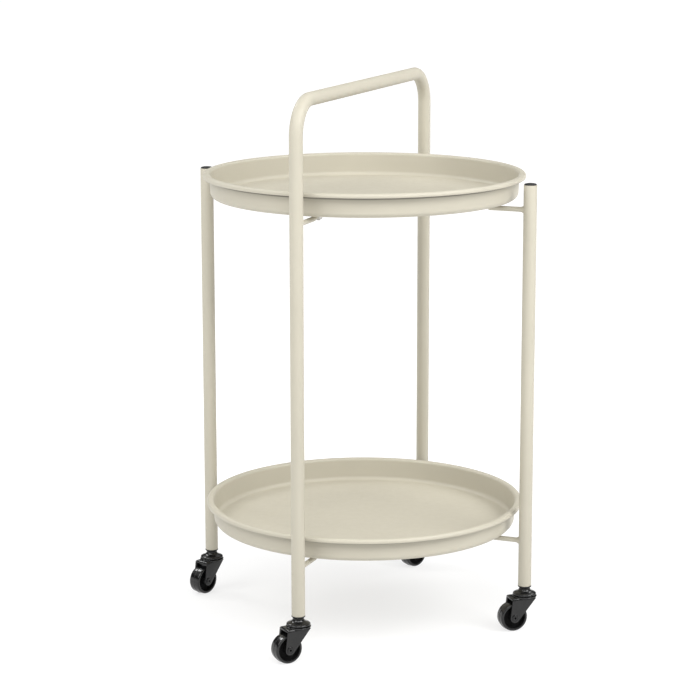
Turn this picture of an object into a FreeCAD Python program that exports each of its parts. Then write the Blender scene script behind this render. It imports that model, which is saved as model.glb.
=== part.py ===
import FreeCAD, Part
import math
import os

import Sketcher
from FreeCAD import Placement, Rotation, Vector

# A round two-tier serving cart on four swivel casters, in millimetres.
# Z is up, and the origin is on the trays' axis at floor level.
# One bent tube makes the front leg (-Y), the handle and the rear leg (+Y).
# Two shorter posts stand at the left (-X) and the right (+X).

# Driving dimensions

SIZES = [
    ("tube_diameter", 16.0, "legs, posts and handle, outside"),
    ("tube_wall", 1.2, "legs, posts and handle"),
    ("leg_circle", 211.0, "trays' axis to each leg's centre line"),
    ("foot_height", 55.2, "open lower end of the tubes"),
    ("bar_height", 658.0, "handle bar's centre line"),
    ("bend_radius", 40.0, "handle's bends, at the centre line"),
    ("post_top", 548.2, "upper end of the two posts"),
    ("rod_diameter", 6.0, "round support arms under the trays"),
    ("rod_drop", 6.0, "tray's underside to the arm's centre line"),
    ("weld_diameter", 9.8, "weld bead where an arm meets its leg"),
    ("weld_length", 3.6, "weld bead along the arm"),
    ("tab_thickness", 2.8, "flattened end of the arm"),
    ("tab_width", 10.4, "flattened end of the arm"),
    ("tab_start", 152.0, "trays' axis to the start of the flat end"),
    ("tab_end", 135.0, "trays' axis to the centre of the flat end's round tip"),
    ("squash_length", 9.0, "stretch in which the rod turns flat"),
    ("stud_circle", 145.5, "trays' axis to each stud"),
    ("stud_diameter", 5.0, "studs welded under the trays"),
    ("stud_length", 9.5, "stud below the tray"),
    ("stud_hole", 5.4, "hole in the flat end"),
    ("washer_diameter", 10.0, "outside"),
    ("washer_thickness", 1.0, "washer under a nut"),
    ("nut_size", 8.0, "across the nut's flats"),
    ("nut_height", 4.0, "nut"),
    ("tray_diameter", 392.0, "over the rolled rim"),
    ("tray_height", 29.5, "underside of the floor to the top of the rim"),
    ("tray_sheet", 1.0, "sheet steel of the trays"),
    ("tray_base_radius", 187.0, "outside of the wall where it leaves the bottom corner"),
    ("tray_wall_radius", 188.0, "outside of the wall under the rim"),
    ("tray_corner", 6.5, "outside radius between floor and wall"),
    ("rim_curl", 3.5, "inner curve of the rolled rim, outside radius"),
    ("rim_turn", 6.0, "outer curve of the rolled rim, outside radius"),
    ("rim_height", 4.6, "top of the rim to its turned-down edge"),
    ("upper_rim", 554.0, "top of the upper tray's rim"),
    ("lower_rim", 147.0, "top of the lower tray's rim"),
    ("cap_diameter", 14.8, "plug's head on a post"),
    ("cap_height", 2.4, "plug's domed head"),
    ("cap_edge", 1.3, "straight edge of the plug's head"),
    ("cap_shank", 12.0, "plug inside the post"),
    ("socket_flange", 16.4, "caster socket's flange, diameter"),
    ("socket_neck", 13.2, "foot of the socket's flange, diameter"),
    ("socket_depth", 33.0, "caster socket inside the tube"),
    ("socket_core", 12.2, "caster socket between its ribs, diameter"),
    ("rib_count", 5.0, "ribs round the socket"),
    ("rib_height", 2.4, "each rib of the socket"),
    ("stem_diameter", 7.9, "caster's stem"),
    ("stem_length", 29.0, "caster's stem above the tube's end"),
    ("collar_diameter", 12.4, "stem's collar"),
    ("collar_height", 52.0, "top of the stem's collar above the floor"),
    ("cover_height", 50.9, "top of the bearing cover above the floor"),
    ("cover_diameter", 28.6, "bearing cover over the balls"),
    ("cover_edge", 44.3, "lower edge of the bearing cover above the floor"),
    ("ring_drop", 5.0, "stem's end to the grip ring's groove"),
    ("ring_height", 1.6, "grip ring's groove"),
    ("ring_groove", 6.6, "groove's diameter"),
    ("ring_diameter", 8.7, "grip ring, outside"),
    ("race_radius", 9.0, "centre line of the ball race"),
    ("ball_diameter", 3.5, "bearing balls"),
    ("ball_count", 12.0, "bearing balls in a caster"),
    ("race_height", 44.55, "centres of the balls above the floor"),
    ("fork_height", 43.3, "top of the fork's round plate above the floor"),
    ("hood_drop", 0.8, "top of the round plate to the top of the hood"),
    ("fork_sheet", 1.6, "pressed sheet of the fork"),
    ("fork_width", 20.4, "fork over its two cheeks"),
    ("fork_disc", 30.0, "round plate on the hood, diameter"),
    ("fork_reach", 19.6, "swivel axis to the fork's trailing edge"),
    ("fork_bend", 2.0, "outside radius of the fork's bends"),
    ("fork_lip", 5.5, "turned-down trailing edge, from the top of the hood"),
    ("fork_front", 10.8, "swivel axis to the cheeks' leading corner"),
    ("fork_corner", 2.2, "top of the hood to the cheeks' leading corner"),
    ("cheek_end", 6.1, "rounded lower end of a cheek, radius"),
    ("trail", 16.0, "swivel axis to the wheel's axle"),
    ("wheel_diameter", 35.0, "over the tread"),
    ("wheel_width", 16.0, "over the rims"),
    ("rim_thickness", 3.0, "tread's ring, outside to inside"),
    ("side_recess", 5.0, "depth of the dished sides"),
    ("hub_diameter", 11.6, "wheel's hub"),
    ("wheel_bore", 6.5, "hole for the axle"),
    ("axle_diameter", 6.4, "tubular rivet"),
    ("axle_bore", 2.4, "hole through the rivet"),
    ("axle_head", 8.4, "rolled-over end of the rivet"),
    ("axle_head_height", 0.8, "rolled-over end of the rivet"),
    ("fit_gap", 0.05, "radial running clearance"),
    ("free_gap", 0.3, "between parts that move past each other"),
]

# Which way each leg stands from the trays' axis, and where its caster trails to, in degrees
LEGS = {
    "front": {"azimuth": -90.0, "trails": -129.0},
    "right": {"azimuth": 0.0, "trails": -139.0},
    "rear": {"azimuth": 90.0, "trails": -118.0},
    "left": {"azimuth": 180.0, "trails": -110.5},
}
LEVELS = {"upper": "sizes.upper_rim", "lower": "sizes.lower_rim"}
HOOD_TOP = "sizes.fork_height - sizes.hood_drop"

doc = FreeCAD.newDocument("serving_cart")
sheet = doc.addObject("Spreadsheet::Sheet", "sizes")
for row, (alias, value, note) in enumerate(SIZES, start=1):
    sheet.set(f"A{row}", alias)
    sheet.set(f"B{row}", str(value))
    sheet.set(f"C{row}", note)
    sheet.setAlias(f"B{row}", alias)
doc.recompute()

nodes = []


def value_of(expression):
    """The number that an expression over the sheet's cells gives."""
    return float(sheet.evalExpression(expression.replace("sizes.", "")))


def add_node(sub_part, label):
    sub_part.Label = label
    nodes.append(sub_part)
    return sub_part


# Sketches

def new_body(label):
    return add_node(doc.addObject("PartDesign::Body", label), label)


def new_sketch(body, name, plane, lift=None):
    """A sketch on one of the body's own origin planes, lifted off it by an expression."""
    sketch = body.newObject("Sketcher::SketchObject", f"{body.Label}_{name}")
    origin_plane = next(f for f in body.Origin.OriginFeatures if f.Role == plane)
    sketch.AttachmentSupport = [(origin_plane, "")]
    sketch.MapMode = "FlatFace"
    if lift:
        sketch.setExpression("AttachmentOffset.Base.z", lift)
    return sketch


def fix_point(sketch, edge, end, x, y):
    """Tie one point of the sketch to the sheet: 0 puts it on the axis itself."""
    for kind, axis, expression in (("DistanceX", -2, x), ("DistanceY", -1, y)):
        if expression == "0":
            sketch.addConstraint(Sketcher.Constraint("PointOnObject", edge, end, axis))
            continue
        size = value_of(expression)
        number = sketch.addConstraint(Sketcher.Constraint(kind, -1, 1, edge, end, size))
        sketch.setExpression(f"Constraints[{number}]", expression)


def arc_between(start, end, centre, turn):
    """Turn is 1 for anticlockwise and -1 for clockwise."""
    first = math.atan2(start[1] - centre[1], start[0] - centre[0])
    last = math.atan2(end[1] - centre[1], end[0] - centre[0])
    sweep = (last - first) * turn % (2 * math.pi) * turn
    radius = math.dist(start, centre)
    middle = first + sweep / 2
    via = (centre[0] + radius * math.cos(middle), centre[1] + radius * math.sin(middle))
    return Part.Arc(*(Vector(x, y, 0) for x, y in (start, via, end)))


def draw_outline(sketch, points, closed=True):
    """Lines and arcs through the points.

    A point is (x, y), or (x, y, centre x, centre y, turn) where an arc runs from it to
    the next one. Every x and y is an expression.
    """
    places = [(value_of(p[0]), value_of(p[1])) for p in points]
    count = len(points) if closed else len(points) - 1
    for i in range(count):
        point = points[i]
        here, there = places[i], places[(i + 1) % len(points)]
        if len(point) == 2:
            edge = Part.LineSegment(Vector(*here, 0), Vector(*there, 0))
            sketch.addGeometry(edge, False)
            fix_point(sketch, i, 1, *point)
            continue
        centre = (value_of(point[2]), value_of(point[3]))
        sketch.addGeometry(arc_between(here, there, centre, point[4]), False)
    for i in range(count):
        point = points[i]
        follower = (i + 1) % count
        if closed or follower > i:
            far = arc_end(points, i, False)
            near = arc_end(points, follower, True)
            sketch.addConstraint(Sketcher.Constraint("Coincident", i, far, follower, near))
        if len(point) == 5:
            fix_arc(sketch, i, points, places)
    if not closed:
        last = count - 1
        fix_point(sketch, last, arc_end(points, last, False), *points[-1][:2])


def arc_end(points, i, start):
    """Which end of edge i is its start or finish: a clockwise arc is stored reversed."""
    reversed_arc = len(points[i]) == 5 and points[i][4] < 0
    return 2 if start == reversed_arc else 1


def fix_arc(sketch, i, points, places):
    """An arc's start, and the one coordinate of its centre that its two ends leave free."""
    x, y, centre_x, centre_y, _ = points[i]
    fix_point(sketch, i, arc_end(points, i, True), x, y)
    here, there = places[i], places[(i + 1) % len(places)]
    upright = abs(there[1] - here[1]) >= abs(there[0] - here[0])
    kind, axis, expression = ("DistanceX", -2, centre_x) if upright else ("DistanceY", -1, centre_y)
    if expression == "0":
        sketch.addConstraint(Sketcher.Constraint("PointOnObject", i, 3, axis))
        return
    size = value_of(expression)
    number = sketch.addConstraint(Sketcher.Constraint(kind, -1, 1, i, 3, size))
    sketch.setExpression(f"Constraints[{number}]", expression)


def draw_circle(sketch, x, y, diameter):
    centre = Vector(value_of(x), value_of(y), 0)
    size = value_of(diameter)
    edge = sketch.addGeometry(Part.Circle(centre, Vector(0, 0, 1), size / 2), False)
    fix_point(sketch, edge, 3, x, y)
    number = sketch.addConstraint(Sketcher.Constraint("Diameter", edge, size))
    sketch.setExpression(f"Constraints[{number}]", diameter)


# Features

def revolve(body, name, points, cut=False, angle=360.0):
    """Turn a half section, drawn as radius and height, about the body's Z axis."""
    sketch = new_sketch(body, f"{name}_section", "XZ_Plane")
    draw_outline(sketch, points)
    kind = "PartDesign::Groove" if cut else "PartDesign::Revolution"
    feature = body.newObject(kind, f"{body.Label}_{name}")
    feature.Profile = sketch
    feature.ReferenceAxis = (sketch, ["V_Axis"])
    feature.Angle = angle
    return feature


def pad(body, name, sketch, length, reverse=False, cut=False):
    kind = "PartDesign::Pocket" if cut else "PartDesign::Pad"
    feature = body.newObject(kind, f"{body.Label}_{name}")
    feature.Profile = sketch
    feature.setExpression("Length", length)
    feature.Reversed = reverse
    return feature


def edges_where(feature, test):
    """Names of the edges whose bounding box passes the test."""
    edges = feature.Shape.Edges
    return [f"Edge{i}" for i, edge in enumerate(edges, start=1) if test(edge.BoundBox)]


def dress(body, kind, name, size, test):
    """A fillet or chamfer on the edges that the test picks."""
    doc.recompute()
    base = body.Tip
    feature = body.newObject(f"PartDesign::{kind}", f"{body.Label}_{name}")
    feature.Base = (base, edges_where(base, test))
    feature.setExpression("Radius" if kind == "Fillet" else "Size", size)
    return feature


def stand(sub_part, radius, azimuth, height, turned=0.0):
    """Place a sub-part at a radius and azimuth about the trays' axis, turned about Z."""
    angle = math.radians(azimuth)
    place = Vector(radius * math.cos(angle), radius * math.sin(angle), height)
    sub_part.Placement = Placement(place, Rotation(Vector(0, 0, 1), turned))


# Legs, posts and handle

def draw_tube_section(sketch, y):
    draw_circle(sketch, "0", y, "sizes.tube_diameter")
    draw_circle(sketch, "0", y, "sizes.tube_diameter - 2 * sizes.tube_wall")


def make_handle_tube():
    """Front leg, handle bar and rear leg, bent from one tube."""
    body = new_body("handle_tube")
    section = new_sketch(body, "section", "XY_Plane", "sizes.foot_height")
    draw_tube_section(section, "-sizes.leg_circle")
    route = new_sketch(body, "route", "YZ_Plane")
    bend_foot = "sizes.bar_height - sizes.bend_radius"
    bend_reach = "sizes.leg_circle - sizes.bend_radius"
    draw_outline(route, [
        ("-sizes.leg_circle", "sizes.foot_height"),
        ("-sizes.leg_circle", bend_foot, f"-({bend_reach})", bend_foot, -1),
        (f"-({bend_reach})", "sizes.bar_height"),
        (bend_reach, "sizes.bar_height", bend_reach, bend_foot, -1),
        ("sizes.leg_circle", bend_foot),
        ("sizes.leg_circle", "sizes.foot_height"),
    ], closed=False)
    pipe = body.newObject("PartDesign::AdditivePipe", "handle_tube_pipe")
    pipe.Profile = section
    pipe.Spine = (route, [])


def make_post(side):
    body = new_body(f"{side}_post")
    section = new_sketch(body, "section", "XY_Plane")
    draw_tube_section(section, "0")
    pad(body, "tube", section, "sizes.post_top - sizes.foot_height")
    stand(body, value_of("sizes.leg_circle"), LEGS[side]["azimuth"], value_of("sizes.foot_height"))


def make_post_cap(side):
    """A plastic plug: a low dome on the post's end and a ribbed shank inside it."""
    body = new_body(f"{side}_post_cap")
    bore = "sizes.tube_diameter / 2 - sizes.tube_wall - sizes.fit_gap"
    half = "sizes.cap_diameter / 2"
    dome = f"((({half}) ^ 2 + (sizes.cap_height - sizes.cap_edge) ^ 2)" \
           " / (2 * (sizes.cap_height - sizes.cap_edge)))"
    revolve(body, "plug", [
        ("0", "-sizes.cap_shank"),
        (f"{bore} - 1", "-sizes.cap_shank"),
        (bore, "-sizes.cap_shank + 1"),
        (bore, "-sizes.cap_shank + 3"),
        (f"{bore} - 0.8", "-sizes.cap_shank + 3.8"),
        (f"{bore} - 0.8", "-3"),
        (bore, "-2.2"),
        (bore, "0"),
        (half, "0"),
        (half, "sizes.cap_edge", "0", f"sizes.cap_height - {dome}", 1),
        ("0", "sizes.cap_height"),
    ])
    stand(body, value_of("sizes.leg_circle"), LEGS[side]["azimuth"], value_of("sizes.post_top"))


def make_arm(side, level):
    """A round rod welded to its leg, flattened and drilled at its inner end.

    The body's X axis runs from the leg's centre line towards the trays' axis.
    """
    body = new_body(f"{side}_{level}_arm")
    rod = "sizes.rod_diameter / 2"
    weld_end = "sizes.tube_diameter / 2 + sizes.weld_length"
    tab = "sizes.leg_circle - sizes.tab_start"
    section = new_sketch(body, "half_section", "XZ_Plane")
    draw_outline(section, [
        ("0", "0"),
        ("0", "sizes.weld_diameter / 2"),
        ("sizes.tube_diameter / 2", "sizes.weld_diameter / 2"),
        (weld_end, rod),
        (f"{tab} - sizes.squash_length", rod),
        (f"{tab} - sizes.squash_length", "0"),
    ])
    round_rod = body.newObject("PartDesign::Revolution", f"{body.Label}_rod")
    round_rod.Profile = section
    round_rod.ReferenceAxis = (section, ["H_Axis"])
    squash = body.newObject("PartDesign::AdditiveLoft", f"{body.Label}_squash")
    start = new_sketch(body, "round_end", "YZ_Plane", f"{tab} - sizes.squash_length")
    draw_circle(start, "0", "0", "sizes.rod_diameter")
    end = new_sketch(body, "flat_end", "YZ_Plane", tab)
    draw_flat_section(end)
    squash.Profile = start
    squash.Sections = [end]
    body.Tip = squash
    flat = new_sketch(body, "flat", "XY_Plane", "sizes.rod_drop - sizes.tab_thickness")
    hole = "sizes.leg_circle - sizes.stud_circle"
    tip = "sizes.leg_circle - sizes.tab_end"
    half = "sizes.tab_width / 2"
    draw_outline(flat, [
        (tab, f"-{half}"),
        (tip, f"-{half}", tip, "0", 1),
        (tip, half),
        (tab, half),
    ])
    draw_circle(flat, hole, "0", "sizes.stud_hole")
    pad(body, "tab", flat, "sizes.tab_thickness")
    saddle = new_sketch(body, "saddle", "XY_Plane", "-sizes.tube_diameter")
    draw_circle(saddle, "0", "0", "sizes.tube_diameter")
    pad(body, "leg_hollow", saddle, "2 * sizes.tube_diameter", reverse=True, cut=True)
    height = value_of(f"{LEVELS[level]} - sizes.tray_height - sizes.rod_drop")
    azimuth = LEGS[side]["azimuth"]
    stand(body, value_of("sizes.leg_circle"), azimuth, height, azimuth + 180)


def draw_flat_section(sketch):
    """The flattened rod's section, its upper face against the tray."""
    half = "sizes.tab_width / 2"
    draw_outline(sketch, [
        (f"-{half}", "sizes.rod_drop - sizes.tab_thickness"),
        (half, "sizes.rod_drop - sizes.tab_thickness"),
        (half, "sizes.rod_drop"),
        (f"-{half}", "sizes.rod_drop"),
    ])


# Trays

def make_tray(level):
    """A pressed round pan: flat floor, rounded corner, steep wall, rim rolled outwards.

    The section goes along the underside and the outside, round the rolled rim and back
    along the inside. Height 0 is the underside of the floor.
    """
    body = new_body(f"{level}_tray")
    sheet_steel = "sizes.tray_sheet"
    corner = "sizes.tray_corner"
    corner_x = f"sizes.tray_base_radius - {corner}"
    top = "sizes.tray_height"
    edge = "sizes.tray_diameter / 2"
    curl_x = "(sizes.tray_wall_radius - sizes.tray_sheet + sizes.rim_curl)"
    curl_z = f"{top} - sizes.rim_curl"
    turn_z = f"{top} - sizes.rim_turn"
    reach = f"({edge} - {curl_x})"
    outer_z = f"{turn_z} + sqrt(sizes.rim_turn ^ 2 - {reach} ^ 2)"
    inner_z = f"{turn_z} + sqrt((sizes.rim_turn - {sheet_steel}) ^ 2 - ({reach} - {sheet_steel}) ^ 2)"
    revolve(body, "pan", [
        ("0", "0"),
        (corner_x, "0", corner_x, corner, 1),
        ("sizes.tray_base_radius", corner),
        ("sizes.tray_wall_radius", curl_z, curl_x, curl_z, -1),
        (curl_x, f"{top} - {sheet_steel}", curl_x, turn_z, -1),
        (f"{edge} - {sheet_steel}", inner_z),
        (f"{edge} - {sheet_steel}", f"{top} - sizes.rim_height"),
        (edge, f"{top} - sizes.rim_height"),
        (edge, outer_z, curl_x, turn_z, 1),
        (curl_x, top, curl_x, curl_z, 1),
        (f"sizes.tray_wall_radius - {sheet_steel}", curl_z),
        (f"sizes.tray_base_radius - {sheet_steel}", corner, corner_x, corner, -1),
        (corner_x, sheet_steel),
        ("0", sheet_steel),
    ])
    body.Placement.Base = Vector(0, 0, value_of(f"{LEVELS[level]} - sizes.tray_height"))


def make_tray_fasteners(level):
    """Four studs under a tray, each with the washer and the nut below its arm."""
    underside = value_of(f"{LEVELS[level]} - sizes.tray_height")
    for kind, maker in (("studs", make_stud), ("washers", make_washer), ("nuts", make_nut)):
        group = []
        for side, leg in LEGS.items():
            fastener = maker(f"{level}_{side}")
            stand(fastener, value_of("sizes.stud_circle"), leg["azimuth"], underside,
                  leg["azimuth"])
            group.append(fastener)
        label = f"{level}_tray_{kind}"
        compound = doc.addObject("Part::Compound", label)
        compound.Links = group
        add_node(compound, label)


def small_body(label):
    """A body that goes into a group of equal fasteners."""
    body = doc.addObject("PartDesign::Body", label)
    body.Label = label
    return body


def make_stud(name):
    body = small_body(f"{name}_stud")
    shank = "sizes.stud_diameter / 2"
    revolve(body, "turned", [
        ("0", "-sizes.stud_length"),
        (f"{shank} - 0.7", "-sizes.stud_length"),
        (shank, "-sizes.stud_length + 0.7"),
        (shank, "0"),
        ("0", "0"),
    ])
    return body


def make_washer(name):
    body = small_body(f"{name}_washer")
    bore = "sizes.stud_diameter / 2 + 0.15"
    top = "-sizes.tab_thickness"
    foot = f"{top} - sizes.washer_thickness"
    revolve(body, "stamped", [
        (bore, foot),
        ("sizes.washer_diameter / 2 - 0.25", foot),
        ("sizes.washer_diameter / 2", f"{foot} + 0.25"),
        ("sizes.washer_diameter / 2", top),
        (bore, top),
    ])
    return body


def make_nut(name):
    """A hexagon nut with its corners turned off at both ends."""
    body = small_body(f"{name}_nut")
    top = "-sizes.tab_thickness - sizes.washer_thickness"
    foot = f"{top} - sizes.nut_height"
    hexagon = new_sketch(body, "hexagon", "XY_Plane", foot)
    draw_hexagon(hexagon, "sizes.nut_size")
    draw_circle(hexagon, "0", "0", "sizes.stud_diameter + 2 * sizes.fit_gap")
    pad(body, "hexagon_pad", hexagon, "sizes.nut_height")
    flat = "sizes.nut_size / 2"
    for end, face, inwards in (("upper", top, "-"), ("lower", foot, "+")):
        revolve(body, f"{end}_corners", [
            (flat, face),
            (f"{flat} + 1", face),
            (f"{flat} + 1", f"{face} {inwards} 0.577"),
        ], cut=True)
    return body


def draw_hexagon(sketch, across_flats):
    radius = f"({across_flats}) / sqrt(3)"
    rise = f"({across_flats}) / 2"
    draw_outline(sketch, [
        (radius, "0"),
        (f"{radius} / 2", rise),
        (f"-{radius} / 2", rise),
        (f"-{radius}", "0"),
        (f"-{radius} / 2", f"-{rise}"),
        (f"{radius} / 2", f"-{rise}"),
    ])


# Casters

def stand_at_leg(sub_part, side, height=0.0):
    leg = LEGS[side]
    stand(sub_part, value_of("sizes.leg_circle"), leg["azimuth"], height, leg["trails"])


def make_socket(side):
    """A plastic plug pressed into the tube's end, ribbed outside, that holds the stem."""
    body = new_body(f"{side}_caster_socket")
    bore = "sizes.stem_diameter / 2 + sizes.fit_gap"
    tube_bore = "sizes.tube_diameter / 2 - sizes.tube_wall - sizes.fit_gap"
    core = "sizes.socket_core / 2"
    pitch = "(sizes.socket_depth - 3) / sizes.rib_count"
    ring_z = "sizes.foot_height + sizes.stem_length - sizes.ring_drop"
    ring_x = "sizes.ring_diameter / 2 + 0.2"
    points = [
        (bore, "sizes.collar_height"),
        ("sizes.socket_neck / 2", "sizes.collar_height"),
        ("sizes.socket_neck / 2", "sizes.collar_height + 0.5"),
        ("sizes.socket_flange / 2", "sizes.foot_height - 1.2"),
        ("sizes.socket_flange / 2", "sizes.foot_height"),
        (core, "sizes.foot_height"),
    ]
    for rib in range(int(value_of("sizes.rib_count"))):
        foot = f"sizes.foot_height + 2 + {rib} * {pitch}"
        points += [
            (core, foot),
            (tube_bore, foot),
            (tube_bore, f"{foot} + sizes.rib_height * 0.5"),
            (core, f"{foot} + sizes.rib_height"),
        ]
    points += [
        (core, "sizes.foot_height + sizes.socket_depth"),
        (bore, "sizes.foot_height + sizes.socket_depth"),
        (bore, f"{ring_z} + sizes.ring_height + 0.2"),
        (ring_x, f"{ring_z} + sizes.ring_height + 0.2"),
        (ring_x, f"{ring_z} - 0.2"),
        (bore, f"{ring_z} - 0.2"),
    ]
    revolve(body, "plug", points)
    stand_at_leg(body, side)


def make_stem(side):
    """The steel pin that the caster hangs on: collar, groove and riveted lower head."""
    body = new_body(f"{side}_caster_stem")
    shank = "sizes.stem_diameter / 2"
    groove = "sizes.ring_groove / 2"
    head_top = "sizes.fork_height - sizes.hood_drop - sizes.fork_sheet - sizes.free_gap"
    ring_z = "sizes.foot_height + sizes.stem_length - sizes.ring_drop"
    tip = "sizes.foot_height + sizes.stem_length"
    revolve(body, "pin", [
        ("0", f"{head_top} - 1.6"),
        (f"{shank} + 0.4", f"{head_top} - 1.6"),
        (f"{shank} + 1.4", f"{head_top} - 1"),
        (f"{shank} + 1.4", head_top),
        (shank, head_top),
        (shank, "sizes.cover_height"),
        ("sizes.collar_diameter / 2", "sizes.cover_height"),
        ("sizes.collar_diameter / 2", "sizes.collar_height - 0.4"),
        ("sizes.collar_diameter / 2 - 0.4", "sizes.collar_height"),
        (shank, "sizes.collar_height"),
        (shank, ring_z),
        (groove, ring_z),
        (groove, f"{ring_z} + sizes.ring_height"),
        (shank, f"{ring_z} + sizes.ring_height"),
        (shank, f"{tip} - 1.2"),
        (f"{shank} - 1.2", tip),
        ("0", tip),
    ])
    stand_at_leg(body, side)


def make_grip_ring(side):
    """The split spring ring in the stem's groove that snaps into the socket."""
    body = new_body(f"{side}_caster_grip_ring")
    inside = "sizes.ring_groove / 2 + 0.1"
    outside = "sizes.ring_diameter / 2"
    foot = "sizes.foot_height + sizes.stem_length - sizes.ring_drop + 0.1"
    top = f"{foot} + sizes.ring_height - 0.2"
    revolve(body, "split_ring", [
        (inside, foot),
        (f"{outside} - 0.3", foot),
        (outside, f"{foot} + 0.3"),
        (outside, f"{top} - 0.3"),
        (f"{outside} - 0.3", top),
        (inside, top),
    ], angle=325.0)
    stand_at_leg(body, side)


def make_bearing_cover(side):
    """The flared cover fixed to the stem, with the upper ball race in its underside."""
    body = new_body(f"{side}_bearing_cover")
    bore = "sizes.stem_diameter / 2 + sizes.fit_gap"
    skirt = "sizes.cover_diameter / 2"
    race = "sizes.ball_diameter / 2 + sizes.free_gap + 0.05"
    ceiling = "sizes.race_height + 0.75"
    spread = f"sqrt(({race}) ^ 2 - 0.75 ^ 2)"
    revolve(body, "bell", [
        (bore, "sizes.cover_height"),
        (bore, ceiling),
        (f"sizes.race_radius - {spread}", ceiling, "sizes.race_radius", "sizes.race_height", -1),
        (f"sizes.race_radius + {spread}", ceiling),
        (f"{skirt} - 1.4", ceiling),
        (f"{skirt} - 1.4", "sizes.cover_edge"),
        (skirt, "sizes.cover_edge"),
        (skirt, "sizes.cover_edge + 1.1"),
        (f"{skirt} - 0.4", "sizes.cover_edge + 1.8"),
        ("9.4", "sizes.cover_height - 1.4"),
        ("7.8", "sizes.cover_height - 0.5"),
        ("6.6", "sizes.cover_height"),
    ])
    stand_at_leg(body, side)


def make_bearing_balls(side):
    """A full circle of balls between the cover and the fork."""
    count = int(value_of("sizes.ball_count"))
    balls = []
    for i in range(count):
        ball = doc.addObject("Part::Sphere", f"{side}_ball_{i + 1}")
        ball.setExpression("Radius", "sizes.ball_diameter / 2")
        angle = 360.0 * i / count
        ball.setExpression("Placement.Base.x", f"sizes.race_radius * cos({angle} deg)")
        ball.setExpression("Placement.Base.y", f"sizes.race_radius * sin({angle} deg)")
        ball.setExpression("Placement.Base.z", "sizes.race_height")
        balls.append(ball)
    label = f"{side}_bearing_balls"
    compound = doc.addObject("Part::Compound", label)
    compound.Links = balls
    stand_at_leg(add_node(compound, label), side)


def make_fork(side):
    """The pressed fork: a hood under a round plate, and two cheeks beside the wheel.

    X points from the swivel axis to the axle, and height 0 is the floor.
    """
    body = new_body(f"{side}_fork")
    half = "sizes.fork_width / 2"
    inner = f"({half} - sizes.fork_sheet)"
    front = "-sizes.fork_front"
    hood_foot = f"{HOOD_TOP} - sizes.fork_corner"
    hood = new_sketch(body, "hood", "XY_Plane", hood_foot)
    draw_box(hood, front, "sizes.fork_reach", half)
    pad(body, "hood_pad", hood, "sizes.fork_corner")
    round_hood(body)
    hollow = new_sketch(body, "hollow", "XY_Plane", hood_foot)
    draw_box(hollow, f"{front} - 1", "sizes.fork_reach - sizes.fork_sheet", inner)
    pad(body, "hollow_pocket", hollow, "sizes.fork_corner - sizes.fork_sheet", True, True)
    lip = new_sketch(body, "lip", "XY_Plane", f"{HOOD_TOP} - sizes.fork_lip")
    draw_box(lip, "sizes.fork_reach - sizes.fork_sheet", "sizes.fork_reach", half)
    pad(body, "lip_pad", lip, "sizes.fork_lip - sizes.fork_corner")
    disc = new_sketch(body, "disc", "XY_Plane", "sizes.fork_height - sizes.fork_sheet")
    draw_circle(disc, "0", "0", "sizes.fork_disc")
    pad(body, "disc_pad", disc, "sizes.fork_sheet")
    for name, offset in (("near", inner), ("far", f"-{half}")):
        cheek = new_sketch(body, f"{name}_cheek", "XZ_Plane", offset)
        draw_cheek(cheek)
        pad(body, f"{name}_cheek_pad", cheek, "sizes.fork_sheet")
    cut_fork(body)
    stand_at_leg(body, side)


def draw_box(sketch, x_low, x_high, half_width):
    draw_outline(sketch, [
        (x_low, f"-{half_width}"),
        (x_high, f"-{half_width}"),
        (x_high, half_width),
        (x_low, half_width),
    ])


def draw_cheek(sketch):
    """Steep trailing edge, slanting leading edge, rounded end about the axle."""
    axle = (value_of("sizes.trail"), value_of("sizes.wheel_diameter / 2"))
    radius = value_of("sizes.cheek_end")
    top = f"{HOOD_TOP} - sizes.fork_bend"
    corner = f"{HOOD_TOP} - sizes.fork_corner"
    foot = f"{HOOD_TOP} - sizes.fork_lip"
    leading = (-value_of("sizes.fork_front"), value_of(corner))
    trailing = (value_of("sizes.fork_reach"), value_of(foot))
    slant = tangent_angle(leading, axle, radius, 1)
    upright = tangent_angle(trailing, axle, radius, -1)
    draw_outline(sketch, [
        ("-sizes.fork_front", top),
        ("-sizes.fork_front", corner),
        (
            f"sizes.trail + sizes.cheek_end * cos({slant} deg)",
            f"sizes.wheel_diameter / 2 + sizes.cheek_end * sin({slant} deg)",
            "sizes.trail",
            "sizes.wheel_diameter / 2",
            1,
        ),
        (
            f"sizes.trail + sizes.cheek_end * cos({upright} deg)",
            f"sizes.wheel_diameter / 2 + sizes.cheek_end * sin({upright} deg)",
        ),
        ("sizes.fork_reach", foot),
        ("sizes.fork_reach", top),
    ])


def tangent_angle(point, centre, radius, side):
    """Where a line from the point touches the circle, in degrees about its centre."""
    to_point = math.atan2(point[1] - centre[1], point[0] - centre[0])
    opening = math.acos(radius / math.dist(point, centre))
    return math.degrees(to_point + side * opening)


def round_hood(body):
    """The bends between the plate, the two cheeks and the lip."""
    half = value_of("sizes.fork_width / 2")
    top = value_of(HOOD_TOP)
    reach = value_of("sizes.fork_reach")

    def on_bend(box):
        flat_on_top = abs(box.ZMin - top) < 0.01 and abs(box.ZMax - top) < 0.01
        beside = abs(abs(box.YMin) - half) < 0.01 and box.YLength < 0.01
        behind = abs(box.XMin - reach) < 0.01 and box.XLength < 0.01
        return flat_on_top and (beside or behind)

    dress(body, "Fillet", "bends", "sizes.fork_bend", on_bend)


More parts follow.
